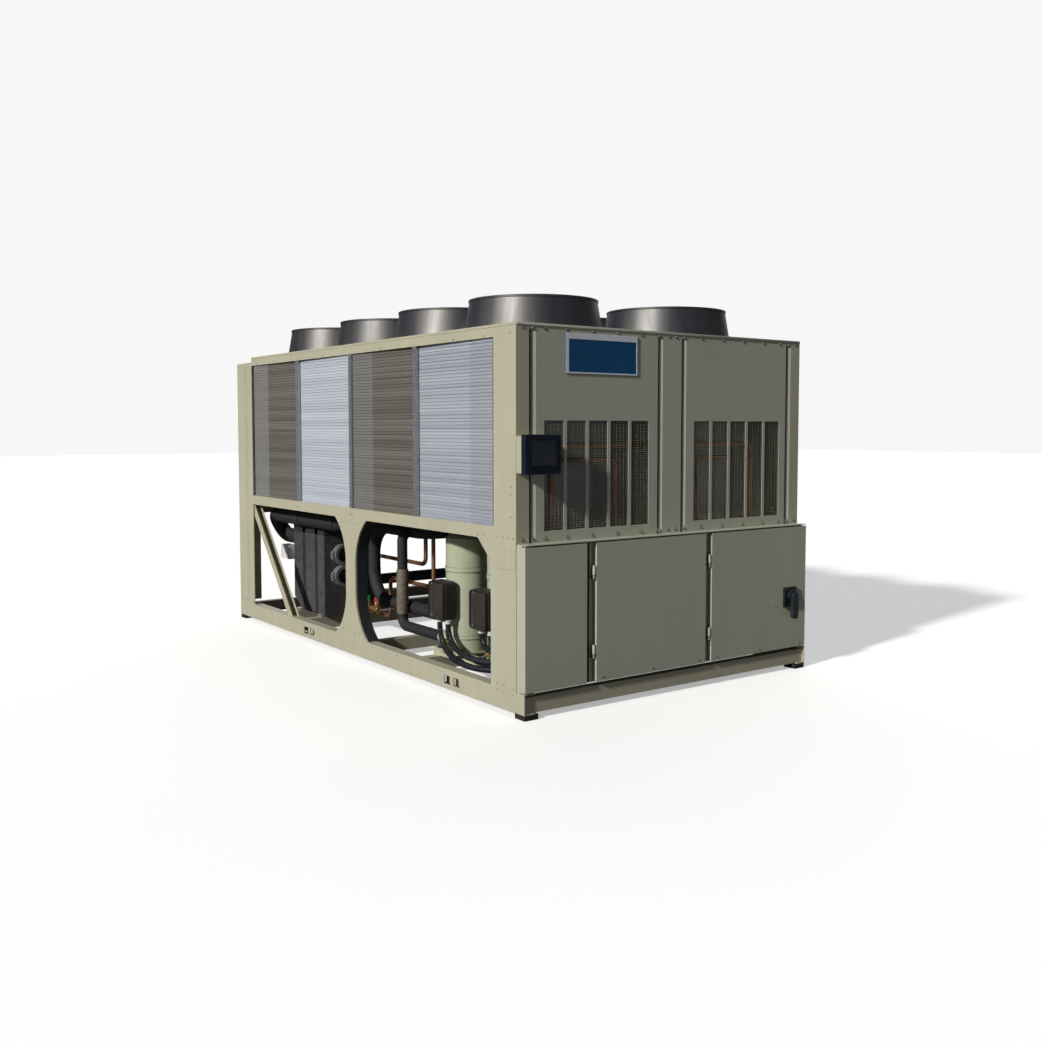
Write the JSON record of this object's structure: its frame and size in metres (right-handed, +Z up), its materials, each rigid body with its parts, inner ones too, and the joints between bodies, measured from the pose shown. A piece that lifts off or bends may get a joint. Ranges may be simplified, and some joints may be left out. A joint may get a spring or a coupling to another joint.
{
  "type": "air cooled water chiller",
  "caption": "Packaged air cooled water chiller: long steel frame with side coils, roof fans in black shrouds, open service bays and a front control cabinet with hinged doors.",
  "frame": {"origin": "centre of the overall box on the floor, at the underside of the foot pads", "axes": "+Z up, +Y along the unit away from the control cabinet, +X to the right seen from the cabinet end"},
  "size_m": [2.24, 4.04, 2.305],
  "materials": {
    "frame_paint": "satin cream powder coat",
    "panel_paint": "satin cream powder coat",
    "galvanised": "dull zinc",
    "coil_fins": "fine fins",
    "black_plastic": "moulded, slight sheen",
    "black_steel": "black coated wire and castings",
    "blue_plate": "dark blue, blank",
    "compressor_paint": "pale green gloss",
    "insulation": "closed cell foam",
    "copper_pipe": "copper, slightly tarnished",
    "cast_metal": "painted grey",
    "white_plastic": "matte",
    "pad_rubber": "matte"
  },
  "bodies": {
    "chiller": {"left_base_rail": "frame_paint", "right_base_rail": "frame_paint", "end_base_rails": "frame_paint", "cross_members": "frame_paint", "corner_feet": "pad_rubber", "left_front_post": "frame_paint", "right_front_post": "frame_paint", "mid_columns": "frame_paint", "rear_posts": "frame_paint", "rear_cap": "frame_paint", "rear_sill": "frame_paint", "coil_beams": "frame_paint", "top_rails": "frame_paint", "rear_bay_braces": "frame_paint", "left_coils": "coil_fins", "right_coils": "coil_fins", "coil_dividers": "galvanised", "plenum_bulkheads": "galvanised", "plenum_floor": "galvanised", "fan_deck": "frame_paint", "fan_shrouds": "black_plastic", "fan_guards": "black_steel", "fan_rotors": "black_plastic", "fan_motors": "black_steel", "left_grille_panel": "panel_paint", "right_grille_panel": "panel_paint", "front_centre_post": "panel_paint", "rear_end_panels": "panel_paint", "name_plate": "blue_plate", "display_housing": "black_plastic", "display_bracket": "frame_paint", "control_cabinet": "panel_paint", "left_cover_panel": "panel_paint", "door_hinges": "galvanised", "left_compressors": "compressor_paint", "right_compressors": "compressor_paint", "terminal_boxes": "black_plastic", "compressor_rails": "frame_paint", "evaporator": "insulation", "evaporator_stand": "frame_paint", "water_nozzles": "galvanised", "water_couplings": "cast_metal", "suction_lines": "insulation", "discharge_lines": "copper_pipe", "liquid_lines": "copper_pipe", "power_conduits": "black_plastic", "junction_box": "white_plastic"},
    "middle_door": {"middle_door": "panel_paint"},
    "right_door": {"right_door": "panel_paint", "disconnect_base": "black_plastic"},
    "disconnect": {"disconnect_handle": "black_plastic"}
  },
  "joints": [
    {"name": "middle_door_hinge", "type": "hinge", "parent": "chiller", "child": "middle_door", "pos_m": [-0.645, -1.952, 0.53], "axis": [0, 0, -1], "range_deg": [0, 105]},
    {"name": "right_door_hinge", "type": "hinge", "parent": "chiller", "child": "right_door", "pos_m": [0.249, -1.952, 0.53], "axis": [0, 0, -1], "range_deg": [0, 105]},
    {"name": "disconnect_turn", "type": "hinge", "parent": "right_door", "child": "disconnect", "pos_m": [0.956, -1.98, 0.488], "axis": [0, 1, 0], "range_deg": [0, 90]}
  ]
}
